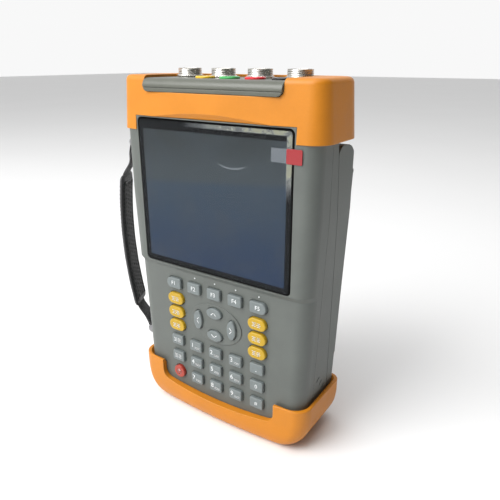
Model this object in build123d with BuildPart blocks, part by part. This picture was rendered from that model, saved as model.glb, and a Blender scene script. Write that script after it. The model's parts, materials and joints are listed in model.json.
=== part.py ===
"""Handheld three-phase power analyser.

A two-part case with rubber end caps, a display, a keypad, a connector panel,
a fold-out stand on the back and a hand strap on the left side.

Millimetres. +X is the user's right, -Y is the front, +Z is up. The origin is the
centre of the face that the instrument stands on.
"""

from build123d import *
import math
import os

os.makedirs("parts", exist_ok=True)

# ---------------------------------------------------------------- driving sizes

# Overall size over the end caps
width = 155.0
depth = 60.0
height = 245.0

# End caps: soft rubber bumpers that grip the two ends of the case
cap_stand_out = 3.5
top_cap_edge = height - 34.5
bottom_cap_edge = 32.5
top_cap_taper = 4.0
cap_floor = 5.0
cap_front_radius = 12.0
cap_rear_radius = 20.0
cap_bow = 565.0
top_rim_round = 3.5
cap_fit = 0.2
window_corner = 4.0

# Bottom cap: its rim stands above the edge where the case sits, and its foot is rounded
# by a quarter ellipse, (across, tall), at the sides and at the front and back
bottom_cap_rim = 35.5
bottom_cap_setback = 4.3
bottom_side_round = (20.0, 27.0)
bottom_face_round = (8.0, 14.0)
bottom_levels = (0, 0.6, 2.0, 4.5, 8.0, 13.0, 19.0, 27.0)
bottom_front_radius = 11.0
bottom_rear_radius = 7.0
bottom_lip_round = 0.6
bottom_lip_slope = 31.0
keypad_opening_half = 50.0
keypad_opening_side = 21.5
keypad_opening_mid = 18.0
keypad_opening_corner = 7.0

# Case: front and rear shell, and the cover on the back
wall = 2.5
front_wall = 2.7
screen_front = -depth / 2 + 2.8
keypad_step = 2.6
keypad_front = screen_front + keypad_step
room_front = keypad_front + front_wall
case_back = depth / 2 - 2.7
case_bow = 1600.0
case_front_radius = 10.0
case_rear_radius = 12.0
room_front_radius = 8.0
neck_step = 2.5
neck_front_radius = 14.0
neck_room_radius = 11.0
neck_foot_round = 12.0
waist = 5.0
waist_low = 40.0
waist_high = 165.0
keypad_top = 114.4
screen_section = 118.0
seam_y = -7.0
seam_gap = 0.3
screen_tab_margin = 1.2
screen_tab_rise = 1.0

# Scoop in the top cap above the screen. Its inner and outer ends each have a distance
# from the screen or the cap's front, a side gap, a rise and the height of the shoulders
scoop_inner = (0.6, 0.4, 0.4, 8.0)
scoop_outer = (-1.0, 3.0, 6.5, 8.5)

# Rear cover: a wedge that carries the stand and closes the battery bay
cover_wall = 2.3
cover_back = depth / 2 - 4.2
cover_gap = 0.5
cover_top_gap = 3.5
cover_slant_top = 0.5
cover_slant_bottom = 15.0
cover_corner = 3.0
cover_top_round = 13.0
cover_seam_round = 6.0

# Connector panel
panel_half = 52.0
panel_flange_inset = 7.5
panel_flange_margin = 1.0
panel_top = height - 1.6
panel_flange = 1.5
panel_boss = 1.6
window_floor = height - 10.0
panel_nose_flush = 0.2
crease_deep = 0.45
crease_wide = 0.5
panel_nose_round = 5.0
panel_clearance = 0.3
panel_floor_gap = 0.2
panel_hole_fit = 0.2
panel_rear = 22.0

# Round multi-pin connectors, in a row behind the voltage sockets
connector_count = 4
connector_pitch = 28.4
connector_row = 9.5
connector_radius = 8.0
connector_collar_extra = 0.9
connector_collar = 1.2
connector_rise = 5.6
connector_drop = 15.0
connector_wall = 1.2
connector_edge = 0.4
connector_well = 3.0
connector_nut_extra = 5.0
connector_nut_thick = 2.6
contact_count = 5
contact_hole = 0.8
contact_circle = 3.9
contact_deep = 8.0
insert_tail = 2.0
thread_fit = 0.05

# 4 mm voltage sockets
socket_names = ("yellow", "green", "red", "black")
socket_pitch = 18.5
socket_first = -13.0
socket_row = -11.0
socket_radius = 6.3
socket_edge = 0.5
socket_body_radius = 5.2
socket_rise = 1.3
socket_drop = 19.0
socket_plug_radius = 2.05
socket_sleeve_radius = 3.0
socket_sleeve_recess = 2.0
socket_sleeve_length = 16.0
socket_sleeve_floor = 1.5

# Display
glass_border = 14.5
glass_top = height - 26.3
glass_bottom = 118.6
glass_thick = 1.8
glass_recess = 1.2
glass_corner = 3.0
glass_fit = 0.3
glass_edge = 0.3
ledge = 3.2
lcd_frame_deep = 4.6
lcd_fit = 0.5
lcd_gap = 0.2
lcd_margin = 1.0
lcd_frame_front = 1.0
film_thick = 0.25
film_margin = 1.2
film_corner = 2.0
tab_width = 10.0
tab_high = 8.5
tab_overhang = 5.5
tab_below_top = 10.7
tab_thick = 0.3
tab_corner = 0.8
tab_lift = 0.1

# Keys
column_first = -34.5
column_pitch = 17.5
row_first = 58.0
row_pitch = 13.8
function_row = 104.2
pill_first = 92.0
pill_pitch = 10.8
pad_z = 81.0
pad_reach_x = 14.5
pad_reach_z = 8.7
key_size = (10.5, 8.0)
function_size = (11.0, 8.0)
pill_size = (14.0, 8.5)
pad_upright = (12.8, 8.0)
pad_sideways = (7.2, 14.5)
power_radius = 5.0
end_key_extra = 1.6
end_key_radius = 3.8
key_corner = 1.2
key_rise = 2.4
key_round = 0.8
key_lip = 0.8
key_lip_thick = 1.0
key_gap = 0.35
key_travel = 1.2
key_clearance = 0.3
mat_thick = 1.0
board_thick = 1.6
plateau_half = (22.0, 15.0)
plateau_rise = 0.5

# Boards and battery
keypad_board_half = 47.0
keypad_board_low = 20.0
keypad_board_top_gap = 3.0
board_connector_half = 12.0
board_connector_tall = 3.0
board_connector_high = 6.0
board_connector_top_gap = 5.4
board_spacing = 2.5
main_board_margin = 6.0
main_board_low = 46.0
main_board_top_gap = 36.0
# Main board components: x, distance below the board's top, half width, half height, thickness
board_components = (
    (-20, 59, 12, 12, 1.6),
    (22, 49, 8, 8, 1.4),
    (20, 89, 10, 6, 3.0),
    (-30, 114, 6, 9, 3.5),
    (34, 119, 8, 8, 3.5),
    (0, 24, 30, 4, 4.0),
)
battery_half = 36.0
battery_tall = 66.0
battery_gap = 0.5
battery_below_top = 14.0
battery_round = 3.0
buzzer_radius = 6.0
buzzer_thick = 6.0
buzzer_gap = 0.5
vent_count = 3
vent_first = (-0.5, 48.0)
vent_step = (4.5, -5.0)
vent_length = 4.5
vent_width = 1.0
vent_lean = 35.0

# Screws
screw_radius = 1.45
screw_hole = 1.5
screw_slack = 1.7
screw_head = 2.8
screw_head_thick = 2.2
screw_head_hole = 3.2
screw_socket = 1.25
screw_socket_floor = 0.9
screw_hole_floor = 2.0
screw_tip_gap = 5.0
case_head_deep = 4.0
cover_head_deep = 5.0
cover_screw_grip = 4.5
post_radius = 4.0
post_setback = 1.5
case_screw_low = 15.0
case_screw_high = height - 18.0
case_screw_inset = 14.0
cover_screw_inset = 14.0
cover_screw_low = 60.0
cover_screw_high = height - 63.0

# Stand
stand_thick = 3.2
stand_gap = 0.3
stand_top = height - 55.0
stand_low = 48.0
stand_margin = 2.0
stand_corner = 8.0
finger_notch = 13.0
finger_notch_drop = 4.0
groove_heights = (22.0, 28.0)
groove_wide = 2.0
groove_deep = 0.7
groove_inset = 14.0
hinge_radius = 1.8
hinge_pin_radius = 0.9
hinge_running = 0.05
knuckle_inner = 30.0
knuckle_outer = 50.0
lug_thick = 4.0
lug_gap = 0.3

# Hand strap, on the left side
strap_front = -15.0
strap_pad_low = 66.0
strap_pad_high = height - 73.0
strap_bulge_rise = 19.0
pad_out_low = 18.3
pad_out_mid = 23.2
pad_out_high = 19.0
strap_turn = 27.0
pad_width = 24.0
pad_thick = 5.4
web_width = 14.0
web_thick = 1.6
web_inset = 2.0
anchor_bar = 1.5
anchor_stand_off = 5.0
anchor_high = height - 46.0
anchor_low = 50.0
anchor_ear = 2.0
anchor_ear_half = 3.0
anchor_ear_reach = 30.0
strap_clearance = 0.3

# How far an added form reaches into a wall, and how far a cutter runs past a face
root = 0.5
clear = 1.0

# ------------------------------------------------------------- derived values

case_half = width / 2 - cap_stand_out
neck_bottom = cap_floor + cap_fit
neck_top = panel_top - panel_boss - panel_flange
neck_back = case_back - neck_step
panel_flange_half = case_half - neck_step - panel_flange_inset
connector_bore = connector_radius - connector_wall
glass_half = case_half - glass_border
glass_front = screen_front + glass_recess
glass_back = glass_front + glass_thick
glass_mid_z = (glass_top + glass_bottom) / 2
glass_high = glass_top - glass_bottom
tab_half = glass_half + screen_tab_margin
tab_top = glass_top + screen_tab_rise
lip_front = room_front + key_clearance
lip_back = lip_front + key_lip_thick
mat_front = lip_back + key_travel + key_clearance
board_front = mat_front + mat_thick
board_connector_back = board_front + board_thick + board_connector_tall
main_board_front = board_connector_back + board_spacing
keypad_board_top = keypad_top - keypad_board_top_gap
cover_top = top_cap_edge - cover_top_gap
cover_low = bottom_cap_edge + cover_gap
stand_front = cover_back + stand_gap
hinge_y = stand_front + hinge_radius
hinge_z = stand_top - hinge_radius
case_seat = neck_back - case_head_deep
cover_seat = cover_back - cover_head_deep
buzzer_y = vent_first[0] + vent_step[0] * (vent_count - 1) / 2
buzzer_z = vent_first[1] + vent_step[1] * (vent_count - 1) / 2
strap_pad_mid = (strap_pad_low + strap_pad_high) / 2 + strap_bulge_rise
everything = 4 * max(width, depth, height)


def side(z):
    """Half width of the case at a height: the case narrows towards its foot."""
    rise = (z - waist_low) / (waist_high - waist_low)
    return case_half - waist * (1 - min(max(rise, 0), 1))


def front_at(z):
    """Front of the case at a height: the keypad lies lower than the screen."""
    rise = (z - keypad_top) / (screen_section - keypad_top)
    return keypad_front - keypad_step * min(max(rise, 0), 1)


def bowed(x, front, bow):
    """Depth of a bowed front face at a distance from the middle."""
    return front + bow - math.sqrt(bow**2 - x**2)


def slant(z):
    """Depth of the sloping back wall that the rear cover closes."""
    rise = (z - bottom_cap_edge) / (top_cap_edge - bottom_cap_edge)
    return cover_slant_bottom + (cover_slant_top - cover_slant_bottom) * rise


def facing(y):
    """A drawing plane that faces the user: its x is X and its y is Z."""
    return Plane(origin=(0, y, 0), x_dir=(1, 0, 0), z_dir=(0, -1, 0))


def block(x, y, z, mode=Mode.ADD):
    """A box between three pairs of limits."""
    with Locations(((x[0] + x[1]) / 2, (y[0] + y[1]) / 2, (z[0] + z[1]) / 2)):
        return Box(x[1] - x[0], y[1] - y[0], z[1] - z[0], mode=mode)


def rod(x, z, y, radius, mode=Mode.ADD):
    """A round bar along Y between two limits."""
    with Locations(Location((x, (y[0] + y[1]) / 2, z), (90, 0, 0))):
        return Cylinder(radius, y[1] - y[0], mode=mode)


def post(x, y, z, radius, mode=Mode.ADD):
    """A round bar along Z between two limits."""
    with Locations((x, y, (z[0] + z[1]) / 2)):
        return Cylinder(radius, z[1] - z[0], mode=mode)


def axle(x, y, z, radius, mode=Mode.ADD):
    """A round bar along X between two limits."""
    with Locations(Location(((x[0] + x[1]) / 2, y, z), (0, 90, 0))):
        return Cylinder(radius, x[1] - x[0], mode=mode)


def section(z, half_width, front, back, front_radius, rear_radius, bow=None):
    """One level outline of the case or of a cap."""
    corner = front if bow is None else bowed(half_width, front, bow)
    with BuildSketch(Plane.XY.offset(z)) as outline:
        with BuildLine():
            if bow is None:
                Line((-half_width, corner), (half_width, corner))
            else:
                ThreePointArc((-half_width, corner), (0, front), (half_width, corner))
            Line((half_width, corner), (half_width, back))
            Line((half_width, back), (-half_width, back))
            Line((-half_width, back), (-half_width, corner))
        make_face()
        fillet(outline.vertices().group_by(Axis.Y)[-1], rear_radius)
        fillet(outline.vertices().group_by(Axis.Y)[0], front_radius)
    return outline.sketch


def case_form(low, high, inset=0.0, front=None, bow=case_bow, back=case_back,
              front_radius=case_front_radius, rear_radius=case_rear_radius):
    """The case's outside, or its inside, between two heights."""
    bends = (waist_low, keypad_top, screen_section, waist_high)
    levels = [low] + [z for z in bends if low < z < high] + [high]
    with BuildPart() as form:
        for z in levels:
            level_front = front_at(z) if front is None else front
            add(section(z, side(z) - inset, level_front, back - inset,
                        front_radius, rear_radius, bow))
        loft(ruled=True)
    return form.part


def round_foot(form, low, inset, corner):
    """The neck, or its inside, with its two lower corners rounded in the front view."""
    with BuildPart() as rounded:
        add(form)
        with BuildSketch(facing(depth)) as outline:
            with Locations((0, (low - cap_fit + bottom_cap_edge) / 2)):
                Rectangle(2 * (side(low) - inset + cap_fit), bottom_cap_edge - low + cap_fit)
            fillet(outline.vertices().group_by(Axis.Y)[0], corner)
            with Locations((0, bottom_cap_edge + height / 2)):
                Rectangle(width, height)
        extrude(amount=2 * depth, mode=Mode.INTERSECT)
    return rounded.part


def rounding(z, size):
    """How far a quarter ellipse, (across, tall), stands in from its wall at a height."""
    across, tall = size
    return across * (1 - math.sqrt(1 - (1 - min(z / tall, 1)) ** 2))


def save(builder, name):
    """Names a finished piece and writes it."""
    builder.part.label = name
    export_step(builder.part, f"parts/{name}.step")


# ------------------------------------------------------------------ the case

main_form = case_form(bottom_cap_edge, top_cap_edge)
neck_form = round_foot(
    case_form(neck_bottom, neck_top, inset=neck_step, front=keypad_front,
              front_radius=neck_front_radius),
    neck_bottom, neck_step, neck_foot_round,
)
screen_tab_form = case_form(top_cap_edge - clear, tab_top)

# The wedge behind the sloping back wall, and the same wedge with that wall's thickness
with BuildPart() as cover_space:
    with BuildSketch(Plane.YZ):
        with BuildLine():
            Polyline(
                (slant(bottom_cap_edge), bottom_cap_edge),
                (depth, bottom_cap_edge),
                (depth, top_cap_edge),
                (slant(top_cap_edge), top_cap_edge),
                close=True,
            )
        make_face()
    extrude(amount=width, both=True)

with BuildPart() as cover_space_and_wall:
    with BuildSketch(Plane.YZ):
        with BuildLine():
            Polyline(
                (slant(bottom_cap_edge) - wall, bottom_cap_edge - wall),
                (depth, bottom_cap_edge - wall),
                (depth, top_cap_edge + wall),
                (slant(top_cap_edge) - wall, top_cap_edge + wall),
                close=True,
            )
        make_face()
    extrude(amount=width, both=True)

main_room = case_form(bottom_cap_edge + wall, top_cap_edge - wall, inset=wall,
                      front=room_front, bow=None, front_radius=room_front_radius)
neck_room = round_foot(
    case_form(neck_bottom + wall, height, inset=neck_step + wall,
              front=room_front, bow=None, front_radius=neck_room_radius),
    neck_bottom + wall, neck_step + wall, neck_foot_round - wall,
)

with BuildPart() as room:
    add(main_room)
    add(neck_room)
    add(cover_space_and_wall.part, mode=Mode.SUBTRACT)

case_screws_at = [
    (sign * (side(z) - case_screw_inset), z)
    for z in (case_screw_low, case_screw_high)
    for sign in (-1, 1)
]
cover_screws_at = [
    (sign * (side(z) - cover_screw_inset), z)
    for z in (cover_screw_low, cover_screw_high)
    for sign in (-1, 1)
]

# --------------------------------------------------------------- key positions


def column(index):
    return column_first + index * column_pitch


pad_x = column(2)
key_list = []
for index in range(5):
    key_list.append((f"key_f{index + 1}", "function", column(index), function_row))
for index in range(3):
    pill_z = pill_first - index * pill_pitch
    key_list.append((f"key_yellow_left_{index + 1}", "pill", column(0), pill_z))
    key_list.append((f"key_yellow_right_{index + 1}", "pill", column(4), pill_z))
key_list.append(("key_up", "upright", pad_x, pad_z + pad_reach_z))
key_list.append(("key_down", "upright", pad_x, pad_z - pad_reach_z))
key_list.append(("key_left", "sideways", pad_x - pad_reach_x, pad_z))
key_list.append(("key_right", "sideways", pad_x + pad_reach_x, pad_z))
number_rows = (
    ("key_select", "key_1", "key_2", "key_3", "key_point"),
    ("key_return", "key_4", "key_5", "key_6", "key_0"),
    ("key_power", "key_7", "key_8", "key_9", "key_hash"),
)
for row, names in enumerate(number_rows):
    for index, name in enumerate(names):
        style = "power" if name == "key_power" else "block"
        key_list.append((name, style, column(index), row_first - row * row_pitch))


def key_outline(name, style, grow):
    """A key's outline about its own middle, or the outline grown for its hole or lip."""
    with BuildSketch() as outline:
        if style == "power":
            Circle(power_radius + grow)
        elif style == "pill":
            SlotOverall(pill_size[0] + 2 * grow, pill_size[1] + 2 * grow)
        elif style == "upright":
            Ellipse(pad_upright[0] / 2 + grow, pad_upright[1] / 2 + grow)
        elif style == "sideways":
            Ellipse(pad_sideways[0] / 2 + grow, pad_sideways[1] / 2 + grow)
        elif name in ("key_f1", "key_f5"):
            # The two outer function keys have a round outer end
            outward = -1 if name == "key_f1" else 1
            with Locations((outward * end_key_extra / 2, 0)):
                Rectangle(function_size[0] + end_key_extra + 2 * grow,
                          function_size[1] + 2 * grow)
            ends = outline.vertices().group_by(Axis.X)
            fillet(ends[0], (end_key_radius if outward < 0 else key_corner) + grow)
            ends = outline.vertices().group_by(Axis.X)
            fillet(ends[-1], (end_key_radius if outward > 0 else key_corner) + grow)
        else:
            size = function_size if style == "function" else key_size
            RectangleRounded(size[0] + 2 * grow, size[1] + 2 * grow, key_corner + grow)
    return outline.sketch


# ------------------------------------------------------------------ front shell

with BuildPart() as front_shell:
    add(screen_tab_form)
    block((-tab_half, tab_half), (-depth, depth), (0, height), mode=Mode.INTERSECT)
    add(main_form)
    add(neck_form)
    block((-width, width), (seam_y, depth), (0, height), mode=Mode.SUBTRACT)
    # Raised oval under the arrow keys
    with BuildSketch(facing(room_front - root)):
        with Locations((pad_x, pad_z)):
            Ellipse(plateau_half[0], plateau_half[1])
    extrude(amount=room_front - root - (keypad_front - plateau_rise))
    add(room.part, mode=Mode.SUBTRACT)
    # Frame for the glass: a pocket from outside and a window through its floor
    with BuildSketch(facing(glass_back)):
        with Locations((0, glass_mid_z)):
            RectangleRounded(2 * (glass_half + glass_fit), glass_high + 2 * glass_fit,
                             glass_corner + glass_fit)
    extrude(amount=depth, mode=Mode.SUBTRACT)
    with BuildSketch(facing(room_front + clear)):
        with Locations((0, glass_mid_z)):
            RectangleRounded(2 * (glass_half - ledge), glass_high - 2 * ledge, glass_corner)
    extrude(amount=depth, mode=Mode.SUBTRACT)
    # Key holes
    with BuildSketch(facing(room_front + clear)):
        for name, style, x, z in key_list:
            with Locations((x, z)):
                add(key_outline(name, style, key_gap))
    extrude(amount=depth, mode=Mode.SUBTRACT)
    # Screw posts
    for x, z in case_screws_at:
        rod(x, z, (room_front - root, seam_y), post_radius)
    for x, z in case_screws_at:
        rod(x, z, (room_front + screw_hole_floor, seam_y + clear), screw_hole, mode=Mode.SUBTRACT)
save(front_shell, "front_shell")

# ------------------------------------------------------------------- rear shell

with BuildPart() as rear_shell:
    add(main_form)
    add(neck_form)
    block((-width, width), (-depth, seam_y + seam_gap), (0, height), mode=Mode.SUBTRACT)
    add(cover_space.part, mode=Mode.SUBTRACT)
    add(room.part, mode=Mode.SUBTRACT)
    for x, z in case_screws_at:
        rod(x, z, (seam_y + seam_gap, neck_back - post_setback), post_radius)
    for x, z in case_screws_at:
        rod(x, z, (-depth, depth), screw_slack, mode=Mode.SUBTRACT)
        rod(x, z, (case_seat, depth), screw_head_hole, mode=Mode.SUBTRACT)
    for x, z in cover_screws_at:
        rod(x, z, (seam_y + seam_gap, slant(z) - post_setback), post_radius)
    for x, z in cover_screws_at:
        rod(x, z, (seam_y + screw_hole_floor, depth), screw_hole, mode=Mode.SUBTRACT)
    # Sound slots beside the buzzer, on the right
    with BuildSketch(Plane.YZ.offset(buzzer_radius)):
        for index in range(vent_count):
            vent_y = vent_first[0] + index * vent_step[0]
            vent_z = vent_first[1] + index * vent_step[1]
            with Locations(Location((vent_y, vent_z), vent_lean)):
                SlotOverall(vent_length, vent_width)
    extrude(amount=width, mode=Mode.SUBTRACT)
save(rear_shell, "rear_shell")

# ------------------------------------------------------------------- rear cover


def cover_profile(inset, front_gap, front_round):
    """The cover seen from the side, with its rounded top, as wide as the case."""
    low = cover_low + inset
    high = cover_top - inset
    back = cover_back - inset
    with BuildPart() as profile:
        with BuildSketch(Plane.YZ) as outline:
            with BuildLine():
                Polyline(
                    (slant(low) + front_gap, low),
                    (back, low),
                    (back, high),
                    (slant(high) + front_gap, high),
                    close=True,
                )
            make_face()
            top = outline.vertices().group_by(Axis.Y)[-1].sort_by(Axis.X)
            fillet(top[-1], cover_top_round - inset)
            if front_round > 0:
                top = outline.vertices().group_by(Axis.Y)[-1].sort_by(Axis.X)
                fillet(top[0], front_round)
        extrude(amount=width, both=True)
    return profile.part


cover_form = case_form(cover_low, cover_top, front=-depth / 2, bow=None,
                       back=cover_back, rear_radius=cover_corner)
with BuildPart() as cover_hollow:
    add(case_form(cover_low, cover_top, inset=cover_wall, front=-depth / 2, bow=None,
                  back=cover_back, rear_radius=cover_corner - cover_wall / 2))
    add(cover_profile(cover_wall, -3 * wall, 0), mode=Mode.INTERSECT)

with BuildPart() as rear_cover:
    add(cover_form)
    add(cover_profile(0, cover_gap, cover_seam_round), mode=Mode.INTERSECT)
    add(cover_hollow.part, mode=Mode.SUBTRACT)
    for x, z in cover_screws_at:
        rod(x, z, (slant(z) + 2 * cover_gap, cover_back - root), post_radius)
    for x, z in cover_screws_at:
        rod(x, z, (-depth, depth), screw_slack, mode=Mode.SUBTRACT)
        rod(x, z, (cover_seat, depth), screw_head_hole, mode=Mode.SUBTRACT)
    # Lugs that hold the hinge pins
    for sign in (-1, 1):
        for inner in (knuckle_inner - lug_gap - lug_thick, knuckle_outer + lug_gap):
            start = sign * inner if sign > 0 else sign * inner - lug_thick
            with BuildSketch(Plane.YZ.offset(start)):
                with Locations((hinge_y, hinge_z)):
                    Circle(hinge_radius)
                with Locations(((cover_back - clear + hinge_y) / 2, hinge_z)):
                    Rectangle(hinge_y - cover_back + clear, 2 * hinge_radius)
            extrude(amount=lug_thick)
    axle((-width, width), hinge_y, hinge_z, hinge_pin_radius + hinge_running / 2,
         mode=Mode.SUBTRACT)
save(rear_cover, "rear_cover")

# ------------------------------------------------------------------------ stand

with BuildPart() as tilt_stand:
    with BuildSketch(facing(stand_front + stand_thick)) as plate:
        low_half = side(stand_low) - stand_margin
        high_half = side(stand_top) - stand_margin
        with BuildLine():
            Polyline(
                (-low_half, stand_low),
                (low_half, stand_low),
                (high_half, stand_top - hinge_radius),
                (-high_half, stand_top - hinge_radius),
                close=True,
            )
        make_face()
        fillet(plate.vertices().group_by(Axis.Y)[0], stand_corner)
    extrude(amount=stand_thick)
    # Rolled top edge around the hinge axis
    axle((-high_half, high_half), hinge_y, hinge_z, hinge_radius)
    # Room for the cover's lugs
    for sign in (-1, 1):
        for inner in (knuckle_inner - 2 * lug_gap - lug_thick, knuckle_outer):
            outer = inner + lug_thick + 2 * lug_gap
            limits = (min(sign * inner, sign * outer), max(sign * inner, sign * outer))
            block(limits, (stand_front - clear, depth), (hinge_z - 2 * hinge_radius - clear, height),
                  mode=Mode.SUBTRACT)
    # Finger notch at the foot and two shallow grooves across the plate
    rod(0, stand_low - finger_notch_drop, (0, depth), finger_notch, mode=Mode.SUBTRACT)
    groove_half = low_half - groove_inset
    for groove_height in groove_heights:
        groove_low = stand_low + groove_height
        block((-groove_half, groove_half), (stand_front + stand_thick - groove_deep, depth),
              (groove_low, groove_low + groove_wide), mode=Mode.SUBTRACT)
    axle((-width, width), hinge_y, hinge_z, hinge_pin_radius + hinge_running,
         mode=Mode.SUBTRACT)
save(tilt_stand, "tilt_stand")

with BuildPart() as stand_pins:
    pin_start = knuckle_inner - lug_gap - lug_thick
    pin_length = knuckle_outer - knuckle_inner + 2 * (lug_gap + lug_thick)
    for start in (pin_start, -pin_start - pin_length):
        axle((start, start + pin_length), hinge_y, hinge_z, hinge_pin_radius)
save(stand_pins, "stand_pins")

# --------------------------------------------------------------------- end caps

cap_half = width / 2
cap_back = depth / 2
neck_gripped = round_foot(
    case_form(neck_bottom - cap_fit, neck_top + panel_flange + cap_fit,
              inset=neck_step - cap_fit, front=keypad_front - cap_fit,
              front_radius=neck_front_radius),
    neck_bottom - cap_fit, neck_step - cap_fit, neck_foot_round + cap_fit,
)

with BuildPart() as top_cap:
    add(section(top_cap_edge, cap_half, -depth / 2, cap_back,
                cap_front_radius, cap_rear_radius, cap_bow))
    extrude(amount=height - top_cap_edge, taper=top_cap_taper)
    fillet(top_cap.faces().sort_by(Axis.Z)[-1].edges(), top_rim_round)
    add(neck_gripped, mode=Mode.SUBTRACT)
    # Opening for the connector panel, down over the front edge
    with BuildSketch(facing(panel_rear)) as opening:
        with Locations((0, height)):
            Rectangle(2 * panel_half, 2 * (height - window_floor))
        fillet(opening.vertices().group_by(Axis.Y)[0], window_corner)
    extrude(amount=depth, mode=Mode.SUBTRACT)
    # Gap for the screen's frame, opening outwards into a scooped arch
    block((-tab_half - cap_fit, tab_half + cap_fit), (-depth, seam_y), (0, tab_top + cap_fit),
          mode=Mode.SUBTRACT)
    for start, (away, spread, rise, shoulder) in (
        (screen_front, scoop_inner),
        (-depth / 2, scoop_outer),
    ):
        arch_half = tab_half + spread
        arch_end = top_cap_edge + shoulder
        with BuildSketch(facing(start + away)):
            with BuildLine():
                Line((-arch_half, 0), (arch_half, 0))
                Line((arch_half, 0), (arch_half, arch_end))
                ThreePointArc((arch_half, arch_end), (0, tab_top + rise), (-arch_half, arch_end))
                Line((-arch_half, arch_end), (-arch_half, 0))
            make_face()
    loft(mode=Mode.SUBTRACT)
save(top_cap, "top_cap")

with BuildPart() as bottom_cap:
    for z in (*bottom_levels, bottom_cap_edge, bottom_cap_rim):
        face_inset = rounding(z, bottom_face_round)
        half = cap_half - bottom_cap_setback - rounding(z, bottom_side_round)
        add(section(z, half, face_inset - depth / 2, cap_back - face_inset,
                    bottom_front_radius, bottom_rear_radius, cap_bow))
    loft()
    fillet(bottom_cap.faces().sort_by(Axis.Z)[-1].edges(), bottom_lip_round)
    add(neck_gripped, mode=Mode.SUBTRACT)
    # The lip slopes down inwards to the foot of the case
    add(section(bottom_cap_edge, side(bottom_cap_edge) + cap_fit, keypad_front - cap_fit,
                cover_back + cap_fit, case_front_radius, cover_corner + cap_fit, case_bow))
    extrude(amount=bottom_cap_rim - bottom_cap_edge + clear, taper=-bottom_lip_slope,
            mode=Mode.SUBTRACT)
    # Cut-out for the keypad, with a slightly hollow floor
    with BuildSketch(facing(seam_y)) as cut_out:
        with BuildLine():
            ThreePointArc(
                (-keypad_opening_half, keypad_opening_side),
                (0, keypad_opening_mid),
                (keypad_opening_half, keypad_opening_side),
            )
            Polyline(
                (keypad_opening_half, keypad_opening_side),
                (keypad_opening_half, 2 * bottom_cap_edge),
                (-keypad_opening_half, 2 * bottom_cap_edge),
                (-keypad_opening_half, keypad_opening_side),
            )
        make_face()
        fillet(cut_out.vertices().group_by(Axis.Y)[0], keypad_opening_corner)
    extrude(amount=depth, mode=Mode.SUBTRACT)
save(bottom_cap, "bottom_cap")

# -------------------------------------------------------------- connector panel

connectors_at = [
    (index - (connector_count - 1) / 2) * connector_pitch for index in range(connector_count)
]
sockets_at = [socket_first + index * socket_pitch for index in range(len(socket_names))]
boss_half = panel_half - panel_clearance
cap_lean = math.tan(math.radians(top_cap_taper))
nose_front = -depth / 2 + (panel_top - top_cap_edge) * cap_lean + panel_nose_flush
nose_low = window_floor + panel_floor_gap
nose_inner = keypad_front - cap_fit

with BuildPart() as connector_panel:
    with BuildSketch(Plane.YZ.offset(-boss_half)) as nose:
        with BuildLine():
            Polyline(
                (nose_front, nose_low),
                (nose_inner, nose_low),
                (nose_inner, neck_top),
                (panel_rear - panel_clearance, neck_top),
                (panel_rear - panel_clearance, panel_top),
                (nose_front, panel_top),
                close=True,
            )
        make_face()
        front_top = nose.vertices().group_by(Axis.Y)[-1].sort_by(Axis.X)[0]
        fillet(front_top, panel_nose_round)
    extrude(amount=2 * boss_half)
    # The lower corners of the nose follow the cap's opening
    with BuildSketch(facing(depth)) as face_outline:
        with Locations((0, height)):
            Rectangle(2 * boss_half, 2 * (height - nose_low))
        fillet(face_outline.vertices().group_by(Axis.Y)[0], window_corner - panel_clearance)
    extrude(amount=2 * depth, mode=Mode.INTERSECT)
    # Flange that the cap clamps onto the case
    block((-panel_flange_half, panel_flange_half),
          (keypad_front + wall + panel_flange_margin, neck_back - panel_flange_margin),
          (neck_top, neck_top + panel_flange))
    # Moulded line across the nose
    crease_top = panel_top - panel_nose_round - crease_deep
    block((-width, width), (nose_front - clear, nose_front + crease_deep),
          (crease_top - crease_wide, crease_top), mode=Mode.SUBTRACT)
    for x in connectors_at:
        post(x, connector_row, (0, everything), connector_radius + panel_hole_fit, mode=Mode.SUBTRACT)
    for x in sockets_at:
        post(x, socket_row, (0, everything), socket_body_radius + panel_hole_fit, mode=Mode.SUBTRACT)
save(connector_panel, "connector_panel")

with BuildPart() as connector_shells:
    for x in connectors_at:
        top = panel_top + connector_rise
        post(x, connector_row, (panel_top - connector_drop, top), connector_radius)
        post(x, connector_row, (panel_top, panel_top + connector_collar),
             connector_radius + connector_collar_extra)
    for x in connectors_at:
        post(x, connector_row, (0, everything), connector_bore, mode=Mode.SUBTRACT)
    chamfer(connector_shells.faces().sort_by(Axis.Z)[-1].edges(), connector_edge)
save(connector_shells, "connector_shells")

with BuildPart() as connector_inserts:
    insert_top = panel_top + connector_rise - connector_well
    for x in connectors_at:
        post(x, connector_row, (panel_top - connector_drop - insert_tail, insert_top),
             connector_bore)
    with BuildSketch(Plane.XY.offset(insert_top - contact_deep)):
        for x in connectors_at:
            with Locations((x, connector_row)):
                with PolarLocations(contact_circle, contact_count):
                    Circle(contact_hole)
    extrude(amount=2 * contact_deep, mode=Mode.SUBTRACT)
save(connector_inserts, "connector_inserts")

with BuildPart() as connector_nuts:
    nut_half = connector_radius + connector_nut_extra / 2
    with BuildSketch(Plane.XY.offset(neck_top - connector_nut_thick)):
        for x in connectors_at:
            with Locations((x, connector_row)):
                RegularPolygon(nut_half, 6, major_radius=False)
                Circle(connector_radius + thread_fit, mode=Mode.SUBTRACT)
    extrude(amount=connector_nut_thick)
save(connector_nuts, "connector_nuts")

sleeve_top = panel_top + socket_rise - socket_sleeve_recess
sleeve_low = sleeve_top - socket_sleeve_length

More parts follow.
